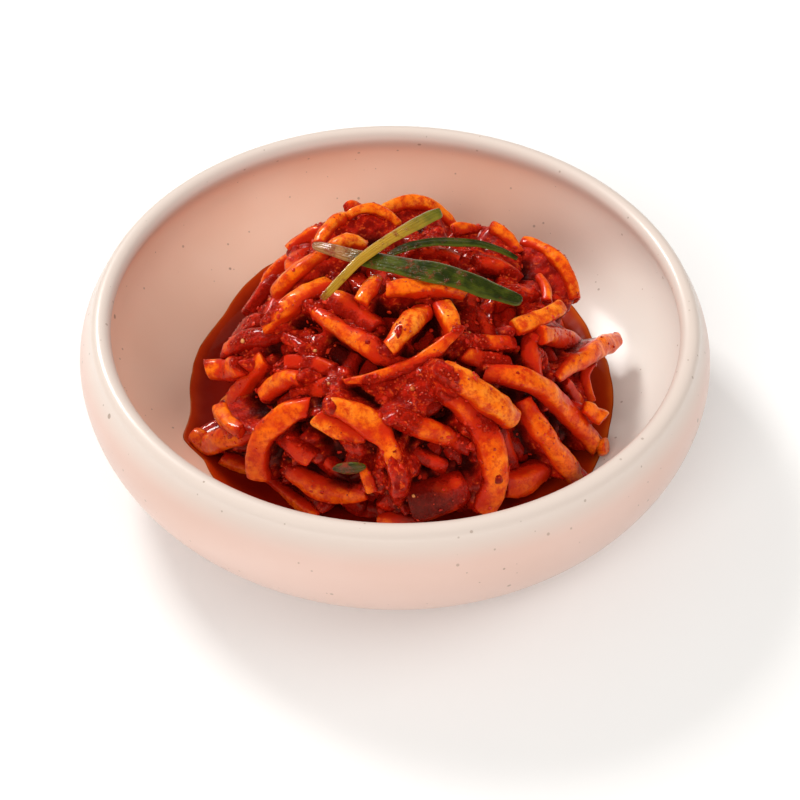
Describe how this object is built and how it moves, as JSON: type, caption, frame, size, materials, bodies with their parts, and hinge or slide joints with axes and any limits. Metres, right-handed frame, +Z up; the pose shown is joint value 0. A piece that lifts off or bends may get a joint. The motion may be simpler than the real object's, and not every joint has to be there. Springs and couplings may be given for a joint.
{
  "type": "radish kimchi in a bowl",
  "caption": "Spicy julienned radish kimchi heaped in a low round stoneware bowl with an incurved lip, red juice round its foot and scallion on top",
  "frame": {"origin": "middle of the bowl's foot, on the table", "axes": "+Z up along the bowl's axis; -Y towards the side the dish is served from; +X to that side's right"},
  "size_m": [0.1796, 0.18, 0.0671],
  "materials": {
    "bowl": "cream-pink speckled gloss glaze",
    "juice": "thin dark red seasoning juice, wet",
    "radish_heap": "wet radish in red pepper paste",
    "scallion_scrap": "wet green leaf",
    "scallion_long_leaf": "wet green leaf",
    "scallion_curved_leaf": "wet green leaf",
    "scallion_stalk": "wet pale yellow-green stalk"
  },
  "bodies": {
    "root": {"bowl": "bowl", "juice": "juice", "radish_heap": "radish_heap", "scallion_scrap": "scallion_scrap", "scallion_long_leaf": "scallion_long_leaf", "scallion_curved_leaf": "scallion_curved_leaf", "scallion_stalk": "scallion_stalk"}
  },
  "joints": []
}
